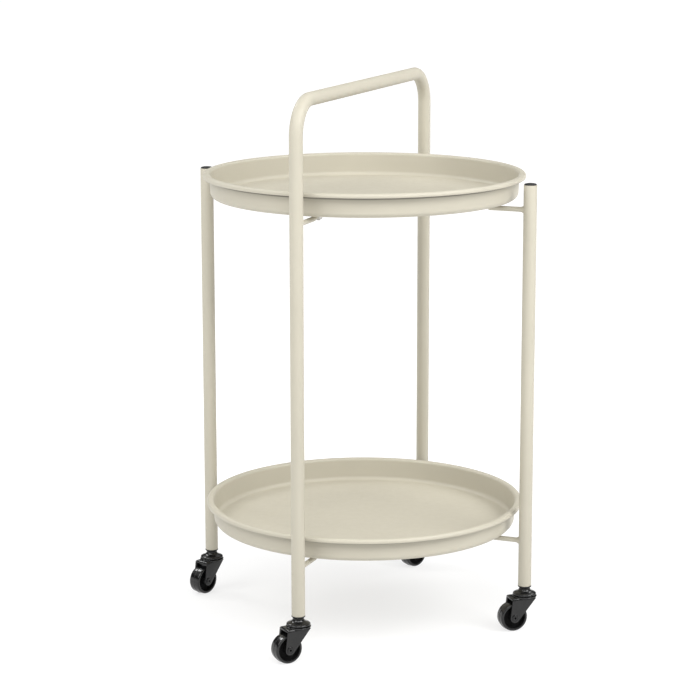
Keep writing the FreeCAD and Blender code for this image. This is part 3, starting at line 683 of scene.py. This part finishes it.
def make_nut():
    """A hexagon with a bore, its corners turned off by a cone at both ends."""
    bm = bmesh.new()
    corner = ACROSS_FLATS / math.sqrt(3.0)
    bmesh.ops.create_circle(bm, cap_ends=False, segments=6, radius=corner)
    bmesh.ops.subdivide_edges(bm, edges=bm.edges[:], cuts=7)
    bmesh.ops.translate(bm, vec=(0.0, 0.0, NUT_FOOT), verts=bm.verts[:])
    lower = bm.edges[:]
    upper = run_straight(bm, lower, (0.0, 0.0, NUT_TOP - NUT_FOOT))
    mouths = []
    for ring, face, inwards in ((lower, NUT_FOOT, 1.0), (upper, NUT_TOP, -1.0)):
        for vert in verts_of(ring):
            outside = max(0.0, vert.co.xy.length - CHAMFER_CIRCLE)
            vert.co.z = face + inwards * outside * CHAMFER_SLOPE
        rings = ((FACE_CIRCLE, face), (NUT_BORE + BORE_CHAMFER, face),
                 (NUT_BORE, face + inwards * BORE_CHAMFER))
        for radius, z in rings:
            ring = run_straight(bm, ring, (0.0, 0.0, 0.0))
            for vert in verts_of(ring):
                spot = vert.co.xy.normalized() * radius
                vert.co = (spot.x, spot.y, z)
        mouths += ring
    bmesh.ops.bridge_loops(bm, edges=mouths)
    bmesh.ops.recalc_face_normals(bm, faces=bm.faces[:])
    return bm


def at_every_stud(maker, floor):
    return joined([
        place(maker(), leg_place(side, STUD_CIRCLE, floor, leg["azimuth"] + STUD_TURN))
        for side, leg in LEGS.items()
    ])


FASTENERS = {"studs": make_stud, "washers": make_washer, "nuts": make_nut}
for level, floor in TRAY_FLOORS.items():
    for kind, maker in FASTENERS.items():
        finish_piece(f"{level}_{kind}", at_every_stud(maker, floor), "frame",
                     [zinc], [f"{level}_tray_{kind}"])

# %% [markdown]
# ## Plugs and sockets
#
# A domed plug closes each post, and a flanged socket sits in the foot of every tube to hold
# a caster's stem. Both are turned shapes. The flange flares from a narrow neck to a little
# more than the tube, so it shows as a dark cup round the tube's end.


# %% Make the plugs and sockets
def make_plug():
    """Heights are measured from the post's end, and the head is part of a large ball."""
    head, head_edge, dome_edge, ball = 2.4, 1.42, 6.9, 24.8
    half_angle = math.degrees(math.asin(dome_edge / ball))
    section = [
        (0.0, -12.0), (5.6, -12.0), (6.6, -11.0), (6.6, -0.4), (6.6, 0.0), (7.2, 0.0),
        (7.4, 0.2), (7.4, 0.95), (7.25, 1.25), (dome_edge, head_edge),
        (0.0, head - ball, half_angle, 10),
    ]
    return lathe(section, parts=64)


for side in ("left", "right"):
    spot = leg_place(side, height=POST_TOP)
    finish_piece(f"{side}_plug", place(make_plug(), spot), "frame",
                 [plug_plastic], [f"{side}_post_cap"])


def make_socket():
    section = [
        (4.05, 52.0), (6.4, 52.0), (6.6, 52.2), (6.6, 52.45), (6.95, 52.9), (7.9, 53.75),
        (8.15, 54.05), (8.2, 54.3), (8.2, 55.0), (8.05, 55.2), (6.75, 55.2), (6.75, 67.2),
        (4.05, 67.2),
    ]
    return lathe(section, parts=64, closed=True)


# %% [markdown]
# ## Caster: stem and bearing cover
#
# The stem is a turned pin with a collar under the socket and a riveted head below the fork.
# The cover is a bell pressed from thin sheet. It is fixed to the stem and hides the balls.
# It flares from a narrow neck to a round shoulder, with a short rolled skirt.


# %% Make the stem and the cover
def make_stem():
    section = [
        (0.0, 39.0), (4.4, 39.0), (5.0, 39.3), (5.35, 39.9), (5.35, 40.4), (5.15, 40.6),
        (3.95, 40.6), (3.95, 50.9), (6.0, 50.9), (6.2, 51.1), (6.2, 51.8), (6.0, 52.0),
        (3.95, 52.0), (3.95, 79.2), (3.3, 79.2), (3.3, 80.8), (3.95, 80.8), (3.95, 83.0),
        (2.75, 84.2), (0.0, 84.2),
    ]
    return lathe(section, parts=48)


def make_cover():
    section = [
        (4.0, 45.3), (7.04, 45.3), (7.6, 46.1), (9.0, 46.65), (10.4, 46.1), (10.96, 45.3),
        (12.9, 45.3), (12.9, 44.5), (13.1, 44.3), (14.0, 44.3), (14.3, 44.6), (14.3, 45.2),
        (14.2, 45.7), (13.9, 46.15), (13.4, 46.55), (12.5, 47.0), (11.2, 47.5), (10.0, 47.95),
        (9.0, 48.45), (8.2, 49.0), (7.6, 49.6), (7.2, 50.2), (7.0, 50.7), (6.6, 50.9),
        (4.0, 50.9),
    ]
    return lathe(section, parts=96, closed=True)


# %% [markdown]
# ## Caster: fork
#
# The fork is pressed from one piece of 1.6 mm steel. A hood closes it above and behind the
# wheel, two cheeks run down to the axle, and a round plate over the hood carries the balls.
# It is made here as sheet metal is: first the outer skin, a rounded block with the open
# sides left out and the two cheeks filled in between their outline and the axle's hole, and
# then one solidify for the thickness.


# %% Make the fork
# The swivel's axis is at zero and the wheel trails along +X.
FORK_FRONT, FORK_REACH, FORK_HALF = -10.8, 19.6, 10.2
FORK_SHEET = 1.6
HOOD_TOP, CORNER, LIP_FOOT = 42.5, 40.3, 39.4
HOOD_BEND = 2.6
CHEEK_END = 6.1  # radius of a cheek's round end, about the axle
STEM_HOLE, AXLE_HOLE = 4.05, 3.3
CLOSE = 1e-3
FLAT = 0.999  # a normal that points straight along an axis


def touch_angle(x, z, side):
    """Where a line from (x, z) touches the cheek's round end, in degrees about the axle."""
    to_point = math.atan2(z - AXLE_HEIGHT, x - TRAIL)
    opening = math.acos(CHEEK_END / math.hypot(x - TRAIL, z - AXLE_HEIGHT))
    return math.degrees(to_point + side * opening)


def make_hood():
    bm = bmesh.new()
    size = (FORK_REACH - FORK_FRONT, 2 * FORK_HALF, HOOD_TOP - LIP_FOOT, 1.0)
    middle = ((FORK_REACH + FORK_FRONT) / 2, 0.0, (HOOD_TOP + LIP_FOOT) / 2)
    block = Matrix.Translation(middle) @ Matrix.Diagonal(size)
    bmesh.ops.create_cube(bm, size=1.0, matrix=block)
    rims = [e for e in bm.edges if min(v.co.z for v in e.verts) > HOOD_TOP - CLOSE
            and max(v.co.x for v in e.verts) > FORK_REACH - CLOSE]
    round_edges(bm, rims, HOOD_BEND, segments=6)
    open_faces = [f for f in bm.faces
                  if f.normal.z < -FLAT or f.normal.x < -FLAT or f.normal.z > FLAT]
    bmesh.ops.delete(bm, geom=open_faces, context="FACES_ONLY")
    for vert in bm.verts:
        if vert.co.x < FORK_FRONT + CLOSE and vert.co.z < LIP_FOOT + CLOSE:
            vert.co.z = CORNER
    return bm


def fill_with_hole(bm, outline, radius, spot, parts):
    """Fill a flat outline round a circular hole."""
    made = bmesh.ops.create_circle(
        bm, cap_ends=False, segments=parts, radius=radius, matrix=spot,
    )
    hole = list({e for v in made["verts"] for e in v.link_edges})
    bmesh.ops.triangle_fill(bm, use_beauty=True, use_dissolve=False, edges=outline + hole)


def add_cheek(bm, y):
    """The cheek's outline hangs from the hood's lower edge on this side."""
    low = [v for v in bm.verts if abs(v.co.y - y) < CLOSE and v.co.z < CORNER + CLOSE]
    front = min(low, key=lambda v: v.co.x)
    rear = max(low, key=lambda v: v.co.x)
    start = touch_angle(FORK_FRONT, CORNER, 1)
    end = touch_angle(FORK_REACH, LIP_FOOT, -1) + 360.0
    first = bmesh.ops.extrude_vert_indiv(bm, verts=[front])
    tip = first["verts"][0]
    angle = math.radians(start)
    tip.co.x = TRAIL + CHEEK_END * math.cos(angle)
    tip.co.z = AXLE_HEIGHT + CHEEK_END * math.sin(angle)
    before = set(bm.edges)
    axle = Vector((TRAIL, y, AXLE_HEIGHT))
    last = draw_arc(bm, tip, axle, end - start, 18)
    arc = [e for e in bm.edges if e not in before]
    outline = first["edges"] + arc + [bm.edges.new((last, rear)), bm.edges.get((front, rear))]
    fill_with_hole(bm, outline, AXLE_HOLE, Matrix.Translation(axle) @ ALONG_Y, parts=24)


def make_plate():
    """The round plate on the hood, with the balls' race pressed into it."""
    section = [
        (STEM_HOLE, 41.7), (14.4, 41.7), (14.75, 41.85), (14.95, 42.2), (15.0, 42.5),
        (14.9, 42.85), (14.65, 43.12), (14.2, 43.3), (10.6, 43.3), (10.1, 42.95),
        (9.0, 42.7), (7.9, 42.95), (7.4, 43.3), (STEM_HOLE, 43.3),
    ]
    return lathe(section, parts=96, closed=True)


def make_fork():
    bm = make_hood()
    top = [e for e in bm.edges if min(v.co.z for v in e.verts) > HOOD_TOP - CLOSE]
    fill_with_hole(bm, top, STEM_HOLE, Matrix.Translation((0.0, 0.0, HOOD_TOP)), parts=48)
    for y in (-FORK_HALF, FORK_HALF):
        add_cheek(bm, y)
    clean(bm)
    bmesh.ops.solidify(bm, geom=bm.faces[:], thickness=FORK_SHEET)
    soften(bm, 0.25, above=50.0)
    return joined([bm, make_plate()])


# %% [markdown]
# ## Caster: axle and wheel
#
# The axle is a tubular rivet whose two ends are rolled over the cheeks, so its bore shows as
# a dark hole. The wheel is moulded in one piece: a slightly crowned tread with the fine rib
# that the two halves of the mould leave, rounded shoulders, deeply dished sides and a hub.
# Both are the same on either side, so half a section is drawn and mirrored.


# %% Make the axle and the wheel
# Every face between these two radii that lies deeper than the mouth takes the dull finish.
RECESS_INNER, RECESS_OUTER, RECESS_MOUTH = 5.9, 13.8, 7.3
WEB_MATERIAL = 1


def make_axle():
    half = [
        (3.2, 10.25), (4.05, 10.25), (4.2, 10.4), (4.15, 10.75), (3.9, 10.95), (3.5, 11.0),
        (3.35, 10.6), (2.95, 10.6), (2.8, 11.0), (1.7, 11.05), (1.3, 10.9), (1.2, 10.5),
    ]
    section = half + [(x, -z) for x, z in reversed(half)]
    return lathe(section, parts=40, closed=True)


def make_wheel():
    half = [
        (17.5, 0.0), (17.5, 0.35), (17.42, 0.52), (17.16, 0.7), (17.1, 2.5), (16.98, 6.2),
        (16.85, 6.9), (16.5, 7.5), (15.9, 7.9), (15.3, 8.0), (14.25, 7.95), (13.95, 7.8),
        (RECESS_OUTER, 7.5), (13.4, 4.2), (13.2, 3.2), (12.7, 2.5), (12.1, 2.4), (7.0, 2.4),
        (6.4, 2.55), (6.1, 3.1), (RECESS_INNER, 7.0), (5.8, 7.9), (5.5, 8.25), (3.5, 8.3),
        (3.25, 8.05),
    ]
    section = half + [(x, -z) for x, z in reversed(half[1:])]
    bm = lathe(section, parts=128, closed=True)
    for face in bm.faces:
        middle = face.calc_center_median()
        if RECESS_INNER < middle.xy.length < RECESS_OUTER and abs(middle.z) < RECESS_MOUTH:
            face.material_index = WEB_MATERIAL
    return bm


# %% [markdown]
# ## Four casters in place
#
# Every caster is the same. Only the way it trails differs, so each piece is made at the
# leg's own origin, turned about the upright and moved out to its leg. The wheel and the
# axle are turned on Z too, so they are first laid down across the fork.


# %% Assemble the casters
UPRIGHT = Matrix()
ON_AXLE = Matrix.Translation((TRAIL, 0.0, AXLE_HEIGHT)) @ ALONG_Y
PLUG, PAINT, WHEEL = [plug_plastic], [black_paint], [wheel_plastic, wheel_web]
CASTER = [
    ("socket", make_socket, UPRIGHT, "frame", "black_plastic", PLUG, "caster_socket"),
    ("stem", make_stem, UPRIGHT, "frame", "black_coat", PAINT, "caster_stem"),
    ("cover", make_cover, UPRIGHT, "frame", "black_coat", PAINT, "bearing_cover"),
    ("caster_fork", make_fork, UPRIGHT, "caster", "black_coat", PAINT, "fork"),
    ("rivet", make_axle, ON_AXLE, "caster", "black_coat", PAINT, "axle"),
    ("roller_wheel", make_wheel, ON_AXLE, "roller", "wheel_plastic", WHEEL, "wheel"),
]
for side, leg in LEGS.items():
    spot = leg_place(side, turned=leg["trails"])
    for name, maker, laid, body, slot, materials, node in CASTER:
        rides_on = body if body == "frame" else f"{side}_{body}"
        finish_piece(f"{side}_{name}", place(maker(), spot @ laid), rides_on, materials,
                     [f"{side}_{node}"])

# %% [markdown]
# ## Floor
#
# The cart stands on a seamless white studio floor. The floor glows as well, which is painted
# light: weaker near the cart and stronger the farther out it is, so that it runs out to pure
# white. Under the cart the shadow is partly cast and partly the painted shade of the weaker
# glow.


# %% Make the floor
FLOOR_SIZE = 60.0
FLOOR_GREY = (0.27, 0.27, 0.27)
WHITE = (1.0, 1.0, 1.0, 1.0)
# The floor's painted light: its glow by distance from the cart, weakest under it.
GLOW = [(0.0, 0.69), (0.12, 0.70), (0.26, 0.755), (1.0, 0.92)]  # metres out, strength


def make_floor():
    bm = bmesh.new()
    bmesh.ops.create_grid(bm, x_segments=1, y_segments=1, size=FLOOR_SIZE)
    mesh = bpy.data.meshes.new("studio_floor")
    bm.to_mesh(mesh)
    bm.free()
    floor = bpy.data.objects.new("studio_floor", mesh)
    bpy.context.scene.collection.objects.link(floor)
    material, nodes, links, shader = new_material("studio_floor", FLOOR_GREY, 0.9, specular=0.1)
    shader.inputs["Emission Color"].default_value = WHITE
    coordinates = nodes.new("ShaderNodeTexCoord")
    away = nodes.new("ShaderNodeVectorMath")
    away.operation = "LENGTH"
    links.new(coordinates.outputs["Object"], away.inputs[0])
    glow = nodes.new("ShaderNodeFloatCurve")
    glow.mapping.extend = "HORIZONTAL"
    points = glow.mapping.curves[0].points
    for distance, strength in GLOW[1:-1]:
        points.new(distance, strength)
    points[0].location, points[-1].location = GLOW[0], GLOW[-1]
    glow.mapping.update()
    links.new(away.outputs["Value"], glow.inputs["Value"])
    links.new(glow.outputs["Value"], shader.inputs["Emission Strength"])
    mesh.materials.append(material)


make_floor()
print("floor ready")

# %% [markdown]
# ## Light
#
# The room is white along the floor, all the way round, and glows softly in a wide band high
# up. Between the two and straight overhead it is dark, because polished black needs
# something dark to reflect. Large soft panels stand far off at the front left, the front
# right and above the camera, and light the trays and legs evenly. Two small panels behind
# the cart draw the bright points on the casters and the soft edges of the legs.


# %% Light the studio
# The room: sine of the angle above the horizon, brightness.
ROOM = [
    (0.0, 1.0), (0.15, 1.0), (0.19, 0.05), (0.42, 0.05), (0.58, 0.57), (0.90, 0.57),
    (0.97, 0.03),
]
# The panels: degrees round the cart, metres away and up, width and height in metres, watts.
PANELS = {
    "front_right_panel": (-10.0, 3.55, 3.07, (2.5, 2.5), 155.0),
    "front_left_panel": (-120.0, 3.55, 3.07, (2.5, 2.5), 88.0),
    "high_panel": (-65.0, 2.89, 3.75, (2.5, 2.5), 76.0),
    "right_panel": (62.0, 1.69, 1.71, (0.5, 0.6), 4.5),
    "left_panel": (162.0, 1.69, 1.71, (0.5, 0.6), 10.0),
}
AIM = Vector((0.0, 0.0, 0.3))


def light_room():
    world = bpy.data.worlds.new("white_room")
    world.use_nodes = True
    nodes, links = world.node_tree.nodes, world.node_tree.links
    room = nodes["Background"]
    direction = nodes.new("ShaderNodeTexCoord")
    split = nodes.new("ShaderNodeSeparateXYZ")
    links.new(direction.outputs["Generated"], split.inputs["Vector"])
    band = nodes.new("ShaderNodeValToRGB")
    stops = band.color_ramp.elements
    while len(stops) < len(ROOM):
        stops.new(1.0)
    for stop, (height, brightness) in zip(stops, ROOM):
        stop.position = height
        stop.color = (brightness, brightness, brightness, 1.0)
    links.new(split.outputs["Z"], band.inputs["Fac"])
    links.new(band.outputs["Color"], room.inputs["Color"])
    bpy.context.scene.world = world


def add_panel(name, azimuth, away, height, size, power):
    light = bpy.data.lights.new(name, "AREA")
    light.shape = "RECTANGLE"
    light.size, light.size_y = size
    light.energy = power
    lamp = bpy.data.objects.new(name, light)
    angle = math.radians(azimuth)
    lamp.location = (away * math.cos(angle), away * math.sin(angle), height)
    lamp.rotation_euler = (AIM - lamp.location).to_track_quat("-Z", "Y").to_euler()
    bpy.context.scene.collection.objects.link(lamp)


light_room()
bpy.context.scene.view_settings.view_transform = "Standard"
for name, numbers in PANELS.items():
    add_panel(name, *numbers)
print(f"a white room and {len(PANELS)} panels")

# %% [markdown]
# ## Camera
#
# The photographer stood about three metres away, a little above the cart, with a long lens:
# upright edges stay nearly parallel and the far tray rim is hardly smaller than the near one.

# %% Set up the camera
# Metres, degrees, and the lens and its sensor in millimetres.
CAMERA_SPOT = (1.045035, -2.656684, 0.928553)
HEADING = 21.825
PITCH = 11.787
ROLL = -0.038
LENS = 121.69
SENSOR = 36.0

camera_data = bpy.data.cameras.new("photo_camera")
camera_data.sensor_width = SENSOR
camera_data.lens = LENS
camera_data.clip_end = 200.0
camera = bpy.data.objects.new("photo_camera", camera_data)
tilt = Matrix.Rotation(math.radians(90.0 - PITCH), 4, "X")
placed = Matrix.Translation(CAMERA_SPOT) @ about_z(HEADING)
camera.matrix_world = placed @ tilt @ about_z(ROLL)
bpy.context.scene.collection.objects.link(camera)
bpy.context.scene.camera = camera
print(f"camera {Vector(CAMERA_SPOT).length:.2f} m away")
